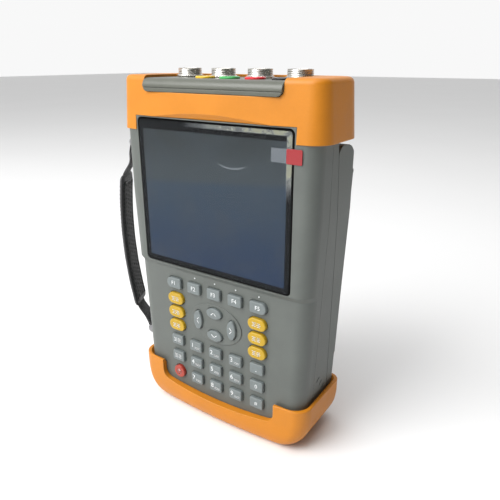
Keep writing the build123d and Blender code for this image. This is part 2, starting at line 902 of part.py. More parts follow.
for socket_name, x in zip(socket_names, sockets_at):
    with BuildPart() as socket:
        post(x, socket_row, (panel_top, panel_top + socket_rise), socket_radius)
        chamfer(socket.faces().sort_by(Axis.Z)[-1].edges(), socket_edge)
        post(x, socket_row, (panel_top - socket_drop, panel_top), socket_body_radius)
        post(x, socket_row, (sleeve_low, everything), socket_sleeve_radius + thread_fit,
             mode=Mode.SUBTRACT)
    save(socket, f"socket_{socket_name}")

with BuildPart() as socket_contacts:
    for x in sockets_at:
        post(x, socket_row, (sleeve_low, sleeve_top), socket_sleeve_radius)
    for x in sockets_at:
        post(x, socket_row, (sleeve_low + socket_sleeve_floor, everything),
             socket_plug_radius, mode=Mode.SUBTRACT)
save(socket_contacts, "socket_contacts")

# ---------------------------------------------------------------------- display

with BuildPart() as display_window:
    with BuildSketch(facing(glass_back)):
        with Locations((0, glass_mid_z)):
            RectangleRounded(2 * glass_half, glass_high, glass_corner)
    extrude(amount=glass_thick)
    chamfer(display_window.faces().sort_by(Axis.Y)[0].edges(), glass_edge)
save(display_window, "display_window")

with BuildPart() as lcd_module:
    frame_front = room_front + lcd_gap
    block((-glass_half, glass_half), (frame_front, frame_front + lcd_frame_deep),
          (glass_bottom + lcd_margin, glass_top - lcd_margin))
    with BuildSketch(facing(frame_front + lcd_frame_front)):
        with Locations((0, glass_mid_z)):
            RectangleRounded(2 * (glass_half - ledge - lcd_fit), glass_high - 2 * (ledge + lcd_fit),
                             glass_corner)
    extrude(amount=frame_front + lcd_frame_front - glass_back - lcd_gap)
save(lcd_module, "lcd_module")

with BuildPart() as screen_film:
    with BuildSketch(facing(glass_front)):
        with Locations((0, glass_mid_z)):
            RectangleRounded(2 * (glass_half - film_margin), glass_high - 2 * film_margin,
                             film_corner)
    extrude(amount=film_thick)
save(screen_film, "screen_film")

with BuildPart() as film_pull_tab:
    tab_right = glass_half + tab_overhang
    tab_mid = (tab_right - tab_width / 2, glass_top - tab_below_top - tab_high / 2)
    with BuildSketch(facing(glass_front - film_thick - tab_lift)):
        with Locations(tab_mid):
            RectangleRounded(tab_width, tab_high, tab_corner)
    extrude(amount=tab_thick)
save(film_pull_tab, "film_pull_tab")

# ------------------------------------------------------------------------- keys

for name, style, x, z in key_list:
    key_face = bowed(x, keypad_front, case_bow) - key_rise
    with BuildPart() as key:
        with BuildSketch(facing(lip_front)):
            with Locations((x, z)):
                add(key_outline(name, style, 0))
        extrude(amount=lip_front - key_face)
        fillet(key.faces().sort_by(Axis.Y)[0].edges(), key_round)
        with BuildSketch(facing(lip_back)):
            with Locations((x, z)):
                add(key_outline(name, style, key_lip))
        extrude(amount=key_lip_thick)
    save(key, name)

# ----------------------------------------------------------- boards and battery

with BuildPart() as key_mat:
    block((-keypad_board_half, keypad_board_half), (mat_front, board_front),
          (keypad_board_low, keypad_board_top))
save(key_mat, "key_mat")

with BuildPart() as keypad_board:
    block((-keypad_board_half, keypad_board_half), (board_front, board_front + board_thick),
          (keypad_board_low, keypad_board_top))
    connector_top = keypad_board_top - board_connector_top_gap
    block((-board_connector_half, board_connector_half),
          (board_front + board_thick, board_connector_back),
          (connector_top - board_connector_high, connector_top))
save(keypad_board, "keypad_board")

with BuildPart() as main_board:
    board_half = side(main_board_low) - wall - main_board_margin
    board_top = height - main_board_top_gap
    board_back = main_board_front + board_thick
    block((-board_half, board_half), (main_board_front, board_back), (main_board_low, board_top))
    for x, below_top, half_x, half_z, tall in board_components:
        z = board_top - below_top
        block((x - half_x, x + half_x), (board_back, board_back + tall), (z - half_z, z + half_z))
save(main_board, "main_board")

with BuildPart() as battery_pack:
    battery_top = cover_top - battery_below_top
    battery_low = battery_top - battery_tall
    battery_front = slant(battery_low) + cover_gap + battery_gap
    battery_back = cover_back - cover_wall - battery_gap
    block((-battery_half, battery_half), (battery_front, battery_back), (battery_low, battery_top))
    fillet(battery_pack.edges().filter_by(Axis.Z), battery_round)
save(battery_pack, "battery_pack")

with BuildPart() as buzzer:
    buzzer_right = side(buzzer_z) - wall - buzzer_gap
    with BuildSketch(Plane.YZ.offset(buzzer_right - buzzer_thick)):
        with Locations((buzzer_y, buzzer_z)):
            Circle(buzzer_radius)
    extrude(amount=buzzer_thick)
save(buzzer, "buzzer")

# ----------------------------------------------------------------------- screws


def screw(x, z, seat, tip):
    """A cap screw along Y whose head sits on a seat at the back."""
    rod(x, z, (tip, seat), screw_radius)
    rod(x, z, (seat, seat + screw_head_thick), screw_head)


with BuildPart() as case_screws:
    for x, z in case_screws_at:
        screw(x, z, case_seat, room_front + screw_tip_gap)
    for x, z in case_screws_at:
        rod(x, z, (case_seat + screw_socket_floor, depth), screw_socket, mode=Mode.SUBTRACT)
save(case_screws, "case_screws")

with BuildPart() as cover_screws:
    for x, z in cover_screws_at:
        screw(x, z, cover_seat, slant(z) - cover_screw_grip)
    for x, z in cover_screws_at:
        rod(x, z, (cover_seat + screw_socket_floor, depth), screw_socket, mode=Mode.SUBTRACT)
save(cover_screws, "cover_screws")

# ------------------------------------------------------------------- hand strap

turn = math.radians(strap_turn)
strap_way = (-math.sin(turn), math.cos(turn), 0)


def beside(z, out):
    """A point beside the left wall, in the strap's own side view."""
    return (-side(z) - out, z)


bar_low = beside(anchor_low, anchor_stand_off)
bar_high = beside(anchor_high, anchor_stand_off)
pad_low = beside(strap_pad_low, pad_out_low)
pad_mid = beside(strap_pad_mid, pad_out_mid)
pad_high = beside(strap_pad_high, pad_out_high)

with BuildPart() as strap_pad:
    with BuildSketch(facing(strap_front)):
        with BuildLine():
            ThreePointArc(pad_low, pad_mid, pad_high)
        trace(line_width=pad_thick)
    extrude(amount=pad_width, dir=strap_way)
save(strap_pad, "strap_pad")

with BuildPart() as strap_webbing:
    for bar, pad_end in ((bar_high, pad_high), (bar_low, pad_low)):
        way = (Vector(*pad_end) - Vector(*bar)).normalized()
        loop_radius = anchor_bar + strap_clearance + web_thick / 2
        near_bar = Vector(*bar) + way * loop_radius
        near_pad = Vector(*pad_end) - way * (pad_thick / 2 + strap_clearance)
        with BuildSketch(facing(strap_front + web_inset)):
            with BuildLine():
                Line(near_bar, near_pad)
            trace(line_width=web_thick)
            with Locations(bar):
                Circle(loop_radius + web_thick / 2)
                Circle(loop_radius - web_thick / 2, mode=Mode.SUBTRACT)
        extrude(amount=web_width, dir=strap_way)
save(strap_webbing, "strap_webbing")

# Each anchor is a bar between two ears that stand out from the case wall
ear_way = anchor_ear + strap_clearance


def anchor_slice(bar, along):
    """A point on an anchor's bar, in the side view, and the plane through it."""
    place = (bar[0] - along * math.sin(turn), bar[1])
    return place, facing(strap_front + web_inset + along * math.cos(turn))


with BuildPart() as strap_anchors:
    for bar in (bar_high, bar_low):
        place, plane = anchor_slice(bar, -ear_way)
        with BuildSketch(plane):
            with Locations(place):
                Circle(anchor_bar)
        extrude(amount=web_width + 2 * ear_way, dir=strap_way)
        for along in (-ear_way, web_width + strap_clearance):
            place, plane = anchor_slice(bar, along)
            with BuildSketch(plane):
                with Locations(place):
                    Circle(anchor_ear_half)
                    with Locations((anchor_ear_reach / 2, 0)):
                        Rectangle(anchor_ear_reach, 2 * anchor_ear_half)
            extrude(amount=anchor_ear, dir=strap_way)
    block((-case_half + waist, everything), (-everything, everything), (0, everything),
          mode=Mode.SUBTRACT)
    add(main_form, mode=Mode.SUBTRACT)
save(strap_anchors, "strap_anchors")
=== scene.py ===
"""Handheld power analyser: its looks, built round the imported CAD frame.

Metres, Z up, the front faces -Y.
"""
import json
import math

import bmesh
import bpy
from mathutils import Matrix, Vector


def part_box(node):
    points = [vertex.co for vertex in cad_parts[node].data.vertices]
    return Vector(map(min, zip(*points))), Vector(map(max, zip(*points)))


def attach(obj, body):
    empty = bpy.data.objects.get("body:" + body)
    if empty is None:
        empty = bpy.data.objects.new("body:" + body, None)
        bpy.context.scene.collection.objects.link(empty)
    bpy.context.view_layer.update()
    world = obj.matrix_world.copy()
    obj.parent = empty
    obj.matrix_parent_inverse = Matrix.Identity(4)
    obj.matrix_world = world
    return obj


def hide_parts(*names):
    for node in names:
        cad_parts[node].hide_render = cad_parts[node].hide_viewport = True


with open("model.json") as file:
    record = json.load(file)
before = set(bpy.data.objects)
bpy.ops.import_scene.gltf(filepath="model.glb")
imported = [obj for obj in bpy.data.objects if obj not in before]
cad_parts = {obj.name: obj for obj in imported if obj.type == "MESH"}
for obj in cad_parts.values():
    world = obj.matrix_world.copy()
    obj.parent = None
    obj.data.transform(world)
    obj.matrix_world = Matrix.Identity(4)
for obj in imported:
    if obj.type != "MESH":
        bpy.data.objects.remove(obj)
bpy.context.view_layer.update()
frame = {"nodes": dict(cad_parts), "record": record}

millimetre = 0.001

# ------------------------------------------------------------------ camera and light

view_azimuth = math.radians(33.9)
view_elevation = math.radians(20.54)
view_distance = 0.3493
view_target = Vector((0.01282, 0.0, 0.13128))
lens_length = 36.51
sensor_width = 36.0

# The studio's light by direction: pale where X is below 0, falling to dark where X is studio_edge
studio_pale = 0.94
studio_dark = 0.1
studio_edge = 0.5

# Lamps: name, azimuth and elevation in degrees, distance and size in metres, power in watts
lamps = (
    ("key_lamp", -28, 42, 1.6, 1.1, 28.0),
    ("top_lamp", 10, 82, 1.5, 0.9, 6.0),
)

floor_half = 8.0
floor_drop = 0.0002


def towards(azimuth, elevation):
    """The direction from the object to a viewer or a lamp; azimuth 0 is straight in front."""
    level = math.cos(elevation)
    return Vector((level * math.sin(azimuth), -level * math.cos(azimuth), math.sin(elevation)))


def aim(thing, place, target):
    """Puts a camera or a lamp at a place and points it at a target."""
    thing.location = place
    thing.rotation_euler = (target - place).to_track_quat("-Z", "Y").to_euler()


def make_camera():
    """The camera fitted to the photo."""
    camera_data = bpy.data.cameras.new("camera")
    camera_data.lens = lens_length
    camera_data.sensor_width = sensor_width
    camera_data.clip_start = 0.01
    camera = bpy.data.objects.new("camera", camera_data)
    bpy.context.scene.collection.objects.link(camera)
    aim(camera, view_target + view_distance * towards(view_azimuth, view_elevation), view_target)
    bpy.context.scene.camera = camera


def make_lamp(name, azimuth, elevation, distance, size, power):
    """A soft square lamp that points at the middle of the object."""
    lamp_data = bpy.data.lights.new(name, "AREA")
    lamp_data.size = size
    lamp_data.energy = power
    lamp = bpy.data.objects.new(name, lamp_data)
    bpy.context.scene.collection.objects.link(lamp)
    way = towards(math.radians(azimuth), math.radians(elevation))
    aim(lamp, view_target + distance * way, view_target)


def make_world():
    """A pale studio that is brighter on the left than on the right."""
    world = bpy.data.worlds.new("studio")
    world.use_nodes = True
    tree = world.node_tree
    tree.nodes.clear()
    output = tree.nodes.new("ShaderNodeOutputWorld")
    background = tree.nodes.new("ShaderNodeBackground")
    place = tree.nodes.new("ShaderNodeTexCoord")
    split = tree.nodes.new("ShaderNodeSeparateXYZ")
    ramp = tree.nodes.new("ShaderNodeMapRange")
    ramp.interpolation_type = "SMOOTHSTEP"
    ramp.inputs["From Min"].default_value = studio_edge
    ramp.inputs["From Max"].default_value = 0.0
    ramp.inputs["To Min"].default_value = studio_dark
    ramp.inputs["To Max"].default_value = studio_pale
    tree.links.new(place.outputs["Generated"], split.inputs[0])
    tree.links.new(split.outputs["X"], ramp.inputs["Value"])
    tree.links.new(ramp.outputs["Result"], background.inputs["Color"])
    tree.links.new(background.outputs[0], output.inputs["Surface"])
    bpy.context.scene.world = world


# ----------------------------------------------------------------------- materials


class Paint:
    """A Principled material and the procedural nodes that feed it."""

    def __init__(self, name, rough=0.5, metallic=0.0, specular=0.5, coat=0.0, sheen=0.0):
        self.material = bpy.data.materials.new(name)
        self.material.use_nodes = True
        self.tree = self.material.node_tree
        self.shader = self.tree.nodes["Principled BSDF"]
        self.shader.inputs["Roughness"].default_value = rough
        self.shader.inputs["Metallic"].default_value = metallic
        self.shader.inputs["Specular IOR Level"].default_value = specular
        self.shader.inputs["Coat Weight"].default_value = coat
        self.shader.inputs["Coat Roughness"].default_value = 0.1
        self.shader.inputs["Sheen Weight"].default_value = sheen
        self.place = self.new("ShaderNodeTexCoord").outputs["Object"]
        self.relief = None

    def new(self, kind, **settings):
        node = self.tree.nodes.new(kind)
        for setting, value in settings.items():
            setattr(node, setting, value)
        return node

    def feed(self, socket, value):
        """Links an output to a socket, or sets a plain value there."""
        if isinstance(value, bpy.types.NodeSocket):
            self.tree.links.new(value, socket)
        elif isinstance(value, tuple) and len(value) == 3 and len(socket.default_value) == 4:
            socket.default_value = (*value, 1.0)
        else:
            socket.default_value = value

    def stretched(self, scale, turn=(0.0, 0.0, 0.0), source=None):
        mapping = self.new("ShaderNodeMapping")
        self.feed(mapping.inputs["Vector"], source or self.place)
        mapping.inputs["Scale"].default_value = scale
        mapping.inputs["Rotation"].default_value = turn
        return mapping.outputs["Vector"]

    def noise(self, scale, detail=2.0, rough=0.5, source=None):
        texture = self.new("ShaderNodeTexNoise")
        self.feed(texture.inputs["Vector"], source or self.place)
        texture.inputs["Scale"].default_value = scale
        texture.inputs["Detail"].default_value = detail
        texture.inputs["Roughness"].default_value = rough
        return texture.outputs["Fac"]

    def cells(self, scale, source=None, feature="F1", randomness=1.0):
        texture = self.new("ShaderNodeTexVoronoi", feature=feature)
        self.feed(texture.inputs["Vector"], source or self.place)
        texture.inputs["Scale"].default_value = scale
        texture.inputs["Randomness"].default_value = randomness
        return texture.outputs["Distance"]

    def waves(self, scale, source=None, direction="X", distortion=0.0):
        texture = self.new("ShaderNodeTexWave", bands_direction=direction)
        self.feed(texture.inputs["Vector"], source or self.place)
        texture.inputs["Scale"].default_value = scale
        texture.inputs["Distortion"].default_value = distortion
        return texture.outputs["Fac"]

    def math(self, operation, first, second=0.0, clamp=False):
        node = self.new("ShaderNodeMath", operation=operation, use_clamp=clamp)
        self.feed(node.inputs[0], first)
        self.feed(node.inputs[1], second)
        return node.outputs[0]

    def step(self, value, low, high, bottom=0.0, top=1.0):
        """Rises smoothly from bottom to top as a value goes from low to high."""
        node = self.new("ShaderNodeMapRange", interpolation_type="SMOOTHSTEP")
        self.feed(node.inputs["Value"], value)
        self.feed(node.inputs["From Min"], low)
        self.feed(node.inputs["From Max"], high)
        self.feed(node.inputs["To Min"], bottom)
        self.feed(node.inputs["To Max"], top)
        return node.outputs["Result"]

    def within(self, value, low, high, soft):
        """1 between two limits, falling to 0 over a soft edge inside each."""
        rising = self.step(value, low, low + soft)
        return self.math("MULTIPLY", rising, self.step(value, high, high - soft))

    def axes(self):
        split = self.new("ShaderNodeSeparateXYZ")
        self.feed(split.inputs[0], self.place)
        return split.outputs["X"], split.outputs["Y"], split.outputs["Z"]

    def mix(self, factor, first, second, blend="MIX"):
        node = self.new("ShaderNodeMix", data_type="RGBA", blend_type=blend)
        self.feed(node.inputs[0], factor)
        self.feed(node.inputs[6], first)
        self.feed(node.inputs[7], second)
        return node.outputs[2]

    def edges(self, radius, low=0.02, high=0.3):
        """How sharp the surface's edge is here, from 0 on a flat to 1 on an edge."""
        bevel = self.new("ShaderNodeBevel", samples=6)
        bevel.inputs["Radius"].default_value = radius
        geometry = self.new("ShaderNodeNewGeometry")
        dot = self.new("ShaderNodeVectorMath", operation="DOT_PRODUCT")
        self.feed(dot.inputs[0], bevel.outputs[0])
        self.feed(dot.inputs[1], geometry.outputs["Normal"])
        self.relief = bevel.outputs[0]
        return self.step(self.math("SUBTRACT", 1.0, dot.outputs["Value"]), low, high)

    def bump(self, height, depth, strength=1.0):
        node = self.new("ShaderNodeBump")
        node.inputs["Distance"].default_value = depth
        node.inputs["Strength"].default_value = strength
        self.feed(node.inputs["Height"], height)
        if self.relief is not None:
            self.feed(node.inputs["Normal"], self.relief)
        self.relief = node.outputs["Normal"]

    def finish(self, colour, rough=None, alpha=None):
        self.feed(self.shader.inputs["Base Color"], colour)
        if rough is not None:
            self.feed(self.shader.inputs["Roughness"], rough)
        if alpha is not None:
            self.feed(self.shader.inputs["Alpha"], alpha)
        if self.relief is not None:
            self.feed(self.shader.inputs["Normal"], self.relief)
        return self.material


def lighter(colour, share):
    """A colour times a share, kept at 1 or below."""
    return tuple(min(1.0, c * share) for c in colour)


def moulded(name, colour, rough=0.45, grain=0.00006, grain_scale=2600.0, mottle=0.06, wear_and_highlight=0.35):
    """Moulded plastic: fine spark-eroded grain, faint mottling, paler edges that are partly rubbed wear and
    partly painted highlight.
    """
    worn_and_lit_edge = 0.0007
    paint = Paint(name, rough)
    patches = paint.noise(45.0, detail=4.0, rough=0.6)
    tone = paint.mix(paint.step(patches, 0.3, 0.7), lighter(colour, 1 - mottle), lighter(colour, 1 + mottle))
    # Paler edges: partly edge wear, partly painted highlight along every sharp edge
    rubbed_and_lit = paint.math("MULTIPLY", paint.edges(worn_and_lit_edge), paint.step(paint.noise(220.0, 3.0), 0.35, 0.65))
    tone = paint.mix(paint.math("MULTIPLY", rubbed_and_lit, wear_and_highlight), tone, lighter(colour, 1.9))
    grains = paint.noise(grain_scale, detail=2.0)
    paint.bump(grains, grain)
    return paint.finish(tone, paint.step(patches, 0.2, 0.8, rough - 0.05, rough + 0.06))


def rubber(name, colour, rough=0.42, grain=0.00008):
    """Soft overmoulded rubber: satin, softly mottled, with faint handling marks."""
    paint = Paint(name, rough, specular=0.42)
    patches = paint.noise(28.0, detail=5.0, rough=0.62)
    fine = paint.noise(900.0, detail=2.0)
    tone = paint.mix(paint.step(patches, 0.32, 0.7), lighter(colour, 0.95), lighter(colour, 1.05))
    tone = paint.mix(paint.step(fine, 0.3, 0.75, 0.0, 0.08), tone, lighter(colour, 0.7))
    slanting = paint.stretched((1.0, 1.0, 4.5), (0.3, 0.5, 0.2))
    scuffs = paint.noise(60.0, detail=6.0, rough=0.75, source=slanting)
    tone = paint.mix(paint.step(scuffs, 0.66, 0.78, 0.0, 0.22), tone, lighter(colour, 0.55))
    # Painted highlight: the sharp edges turn pale orange
    tone = paint.mix(paint.math("MULTIPLY", paint.edges(0.0008), 0.25), tone, (1.0, 0.62, 0.2))
    paint.bump(paint.noise(1900.0, detail=3.0), grain)
    paint.bump(patches, 0.0003, 0.4)
    return paint.finish(tone, paint.step(patches, 0.2, 0.8, rough - 0.06, rough + 0.08))


def plated(name, colour, rough=0.2, brushing=(1.0, 1.0, 60.0)):
    """Nickel plate: turning marks, faint tarnish and painted highlights on the edges."""
    paint = Paint(name, rough, metallic=1.0)
    tarnish = paint.noise(180.0, detail=5.0, rough=0.6)
    lines = paint.noise(400.0, detail=2.0, source=paint.stretched(brushing))
    tone = paint.mix(paint.step(tarnish, 0.35, 0.75), colour, lighter(colour, 0.72))
    # Painted highlight: the sharp edges are made lighter
    tone = paint.mix(paint.edges(0.0003), tone, lighter(colour, 1.25))
    paint.bump(lines, 0.00002)
    return paint.finish(tone, paint.step(tarnish, 0.2, 0.8, rough - 0.05, rough + 0.14))


def glossy(name, colour, rough=0.22, specular=0.5):
    """Smooth injection-moulded plastic with dust in the gloss."""
    paint = Paint(name, rough, specular=specular, coat=0.25)
    dust = paint.noise(700.0, detail=4.0, rough=0.7)
    tone = paint.mix(paint.step(dust, 0.55, 0.8, 0.0, 0.12), colour, lighter(colour, 1.5))
    # Painted highlight: the sharp edges are made lighter
    tone = paint.mix(paint.math("MULTIPLY", paint.edges(0.0003), 0.3), tone, lighter(colour, 1.5))
    paint.bump(paint.noise(1200.0), 0.00002)
    return paint.finish(tone, paint.step(dust, 0.3, 0.8, rough - 0.06, rough + 0.15))


def key_rubber(name, colour, rough=0.4):
    """Silicone keytop: soft satin skin, shinier in random patches."""
    paint = Paint(name, rough, specular=0.45, sheen=0.08)
    patches = paint.noise(260.0, detail=4.0)
    tone = paint.mix(paint.step(patches, 0.3, 0.7), lighter(colour, 0.93), lighter(colour, 1.06))
    # Painted highlight: the sharp edges are made lighter
    tone = paint.mix(paint.math("MULTIPLY", paint.edges(0.0005), 0.35), tone, lighter(colour, 1.6))
    paint.bump(paint.noise(2400.0, detail=2.0), 0.00005)
    return paint.finish(tone, paint.step(patches, 0.25, 0.75, rough - 0.06, rough + 0.08))


def display_glass():
    """The window: a printed black border round a display that is dark grey above and blue-grey below."""
    paint = Paint("window", 0.09, specular=0.05)
    low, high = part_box("display_window")
    x, _, z = paint.axes()
    border_left, border_right = 0.0038, 0.0046
    border_low, border_high = 0.0042, 0.0072
    soft = 0.0004
    lit = paint.within(x, low.x + border_left, high.x - border_right + soft, soft)
    lit_high = paint.within(z, low.z + border_low, high.z - border_high + soft, soft)
    lit = paint.math("MULTIPLY", lit, lit_high)
    # The change from blue to grey slants a little: it is higher on the right
    rise = paint.math("SUBTRACT", z, paint.math("MULTIPLY", x, 0.09))
    clouds = paint.noise(32.0, detail=4.0, rough=0.55)
    tall = high.z - low.z
    blue_end, grey_start = low.z + 0.60 * tall, low.z + 0.655 * tall
    blue_low, blue_high = (0.017, 0.030, 0.062), (0.028, 0.043, 0.064)
    grey_low, grey_high = (0.040, 0.050, 0.056), (0.026, 0.030, 0.030)
    blue = paint.mix(paint.step(rise, low.z, low.z + 0.62 * tall), blue_low, blue_high)
    grey = paint.mix(paint.step(rise, low.z + 0.63 * tall, high.z), grey_low, grey_high)
    screen = paint.mix(paint.step(rise, blue_end, grey_start), blue, grey)
    screen = paint.mix(paint.step(clouds, 0.35, 0.7, 0.0, 0.4), screen, (0.040, 0.050, 0.060))
    tone = paint.mix(lit, (0.003, 0.003, 0.003), screen)
    paint.bump(paint.noise(25.0), 0.00005, 0.3)
    return paint.finish(tone, paint.step(clouds, 0.3, 0.8, 0.06, 0.16))


def film_patch(paint, x, z):
    """A pale square where the film has lifted beside the pull tab, and a curved gleam left of it."""
    low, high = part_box("film_pull_tab")
    patch_wide = 0.0104
    soft = 0.0004
    patch = paint.within(x, low.x - patch_wide, low.x, soft)
    patch = paint.math("MULTIPLY", patch, paint.within(z, low.z, high.z, soft))
    gleam_left, gleam_down = 0.0380, 0.0070
    gleam_bend = 20.0
    gleam_half, gleam_full, gleam_end = 0.0009, 0.0060, 0.0130
    across = paint.math("SUBTRACT", x, low.x - gleam_left)
    height = paint.math("SUBTRACT", z, low.z - gleam_down)
    bend = paint.math("MULTIPLY", paint.math("MULTIPLY", across, across), gleam_bend)
    off = paint.math("ABSOLUTE", paint.math("SUBTRACT", height, bend))
    gleam = paint.step(off, gleam_half, 0.0002)
    ends = paint.step(paint.math("ABSOLUTE", across), gleam_end, gleam_full)
    gleam = paint.math("MULTIPLY", gleam, ends)
    return paint.math("MAXIMUM", patch, gleam)


def clear_film():
    """The protective film: clear, with specks, smears and a hazy rim on the right and along the top."""
    paint = Paint("film", 0.16, specular=0.12)
    low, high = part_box("screen_film")
    x, _, z = paint.axes()
    specks = paint.step(paint.cells(150.0), 0.10, 0.04)
    chosen = paint.step(paint.noise(95.0, detail=1.0), 0.60, 0.66)
    specks = paint.math("MULTIPLY", specks, chosen)
    smear_place = paint.stretched((0.55, 1.0, 1.6), (0.0, 0.25, 0.0))
    smears = paint.step(paint.noise(70.0, detail=5.0, rough=0.7, source=smear_place), 0.66, 0.76)
    haze = paint.step(x, high.x - 0.0038, high.x - 0.0030)
    haze = paint.math("MULTIPLY", haze, paint.step(z, low.z + 0.055, low.z + 0.075))
    top = paint.step(z, high.z - 0.0030, high.z - 0.0022)
    top = paint.math("MULTIPLY", top, paint.step(x, low.x + 0.030, low.x + 0.085))
    rim = paint.math("MAXIMUM", haze, top)
    broken = paint.step(paint.noise(140.0, detail=5.0, rough=0.7), 0.35, 0.6, 0.35, 1.0)
    rim = paint.math("MULTIPLY", rim, broken)
    tone = paint.mix(rim, (0.55, 0.60, 0.66), (0.36, 0.37, 0.28))
    alpha = paint.math("MAXIMUM", paint.math("MULTIPLY", specks, 0.5), paint.math("MULTIPLY", smears, 0.10))
    alpha = paint.math("MAXIMUM", alpha, paint.math("MULTIPLY", rim, 0.62))
    alpha = paint.math("MAXIMUM", alpha, paint.math("MULTIPLY", film_patch(paint, x, z), 0.22))
    alpha = paint.math("MAXIMUM", alpha, 0.02)
    paint.bump(paint.noise(55.0, detail=3.0), 0.0002, 0.5)
    return paint.finish(tone, 0.16, alpha)


def circuit_board():
    """Green solder mask over a maze of copper tracks."""
    paint = Paint("circuit_board", 0.35, specular=0.5, coat=0.3)
    long_runs = paint.stretched((1.0, 0.2, 1.6))
    tracks = paint.cells(220.0, source=long_runs, feature="DISTANCE_TO_EDGE", randomness=0.5)
    tone = paint.mix(paint.step(tracks, 0.02, 0.09), (0.03, 0.16, 0.06), (0.008, 0.07, 0.022))
    tone = paint.mix(paint.step(paint.cells(310.0), 0.09, 0.05), tone, (0.62, 0.56, 0.40))
    paint.bump(paint.step(tracks, 0.02, 0.09), 0.00005)
    return paint.finish(tone)


def woven(name, colour, along, across, rough=0.75):
    """Ribbed nylon webbing: tight yarns over and under, laid along the piece's own UV map."""
    paint = Paint(name, rough, specular=0.3, sheen=0.35)
    uv = paint.new("ShaderNodeUVMap").outputs["UV"]
    warp = paint.waves(across, source=uv, direction="Y")
    weft = paint.waves(along, source=uv, direction="X", distortion=1.2)
    weave = paint.math("MULTIPLY", warp, weft)
    fuzz = paint.noise(1600.0, detail=3.0)
    tone = paint.mix(weave, lighter(colour, 0.45), lighter(colour, 1.5))
    tone = paint.mix(paint.step(fuzz, 0.55, 0.8, 0.0, 0.3), tone, lighter(colour, 3.0))
    paint.bump(weave, 0.00025)
    paint.bump(fuzz, 0.00008, 0.6)
    return paint.finish(tone)


def leathery(name, colour, rough=0.42, creases=900.0, depth=0.00012):
    """Black synthetic leather: pebbled grain with soft shine on the crests."""
    paint = Paint(name, rough, specular=0.5, sheen=0.1)
    pebbles = paint.cells(creases, feature="SMOOTH_F1")
    wide = paint.noise(70.0, detail=4.0)
    tone = paint.mix(paint.step(wide, 0.3, 0.7), lighter(colour, 0.75), lighter(colour, 1.3))
    tone = paint.mix(paint.step(pebbles, 0.1, 0.5), lighter(colour, 1.5), tone)
    paint.bump(pebbles, depth)
    return paint.finish(tone, paint.step(pebbles, 0.1, 0.6, rough - 0.08, rough + 0.12))


def floor_paint():
    """A plain pale floor, very faintly mottled."""
    paint = Paint("floor", 0.75, specular=0.2)
    tone = paint.mix(paint.noise(3.0, detail=3.0), (0.84, 0.84, 0.84), (0.87, 0.87, 0.87))
    return paint.finish(tone)


orange = (0.56, 0.195, 0.007)
case_grey = (0.106, 0.117, 0.107)
key_face = (0.155, 0.178, 0.178)
nickel = (0.72, 0.70, 0.66)


def make_finishes():
    """One material for each slot of the record, and those that only the detailed pieces use."""
    return {
        "case_plastic": moulded("case_plastic", case_grey),
        "stand_plastic": moulded("stand_plastic", lighter(case_grey, 0.6), rough=0.5, grain=0.0001),
        "cap_rubber": rubber("cap_rubber", orange),
        "panel_plastic": moulded("panel_plastic", (0.100, 0.105, 0.085), rough=0.36, grain=0.00003),
        "connector_metal": plated("connector_metal", nickel),
        "black_plastic": moulded("black_plastic", (0.016, 0.016, 0.018), rough=0.4),
        "steel": plated("steel", (0.32, 0.32, 0.33), rough=0.3),
        "socket_yellow": glossy("socket_yellow", (0.80, 0.50, 0.02)),
        "socket_green": glossy("socket_green", (0.05, 0.42, 0.10)),
        "socket_red": glossy("socket_red", (0.70, 0.02, 0.03)),
        "socket_black": glossy("socket_black", (0.02, 0.02, 0.022)),
        "contact_brass": plated("contact_brass", (0.62, 0.58, 0.50), rough=0.28),
        "window": display_glass(),
        "display_face": glossy("display_face", (0.03, 0.032, 0.036)),
        "film": clear_film(),
        "tab_red": glossy("tab_red", (0.29, 0.008, 0.012), rough=0.35),
        "silicone": key_rubber("silicone", (0.35, 0.36, 0.37)),
        "circuit_board": circuit_board(),
        "battery_wrap": glossy("battery_wrap", (0.05, 0.10, 0.30), rough=0.3),
        "strap_padding": leathery("strap_padding", (0.016, 0.016, 0.017)),
        "strap_webbing": woven("strap_webbing", (0.02, 0.02, 0.022), 700.0, 500.0),
        "key_grey": key_rubber("key_grey", key_face),
        "key_yellow": key_rubber("key_yellow", (0.47, 0.29, 0.006), rough=0.34),
        "key_red": key_rubber("key_red", (0.36, 0.040, 0.022), rough=0.34),
        "lining": leathery("lining", (0.010, 0.010, 0.011), rough=0.6, creases=1500.0),
        "thread": woven("thread", (0.05, 0.05, 0.055), 3000.0, 900.0),
        "ink": moulded("ink", (0.78, 0.80, 0.80), rough=0.5, mottle=0.03, wear_and_highlight=0.0),
    }


def paint_nodes(finishes):
    """Gives every CAD node the finish of its slot in the record."""
    for part in frame["record"]["subparts"]:
        cad = frame["nodes"][part["node"]]
        cad.data.materials.clear()
        cad.data.materials.append(finishes[part["material_slot"]])


# ------------------------------------------------------------------- mesh helpers


def add_mesh(name, vertices, faces, material, body="root", smooth=True, uvs=None):
    """A new piece made of these faces, riding on a body."""
    mesh = bpy.data.meshes.new(name)
    mesh.from_pydata([tuple(v) for v in vertices], [], faces)
    if uvs is not None:
        layer = mesh.uv_layers.new(name="UVMap")
        for loop in mesh.loops:
            layer.data[loop.index].uv = uvs[loop.vertex_index]
    form = bmesh.new()
    form.from_mesh(mesh)
    bmesh.ops.recalc_face_normals(form, faces=form.faces)
    form.to_mesh(mesh)
    form.free()
    mesh.polygons.foreach_set("use_smooth", [smooth] * len(mesh.polygons))
    mesh.materials.append(material)
    piece = bpy.data.objects.new(name, mesh)
    bpy.context.scene.collection.objects.link(piece)
    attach(piece, body)
    return piece


def tube_faces(rings, around, closed_ends=True):
    """Quads that join rings of vertices into a tube, with a fan-free cap at each end."""
    faces = []
    for ring in range(rings - 1):
        for step in range(around):
            after = (step + 1) % around
            first = ring * around
            second = first + around
            faces.append((first + step, first + after, second + after, second + step))
    if closed_ends:
        faces.append(tuple(reversed(range(around))))
        faces.append(tuple(range((rings - 1) * around, rings * around)))
    return faces


# --------------------------------------------------------------- round connectors


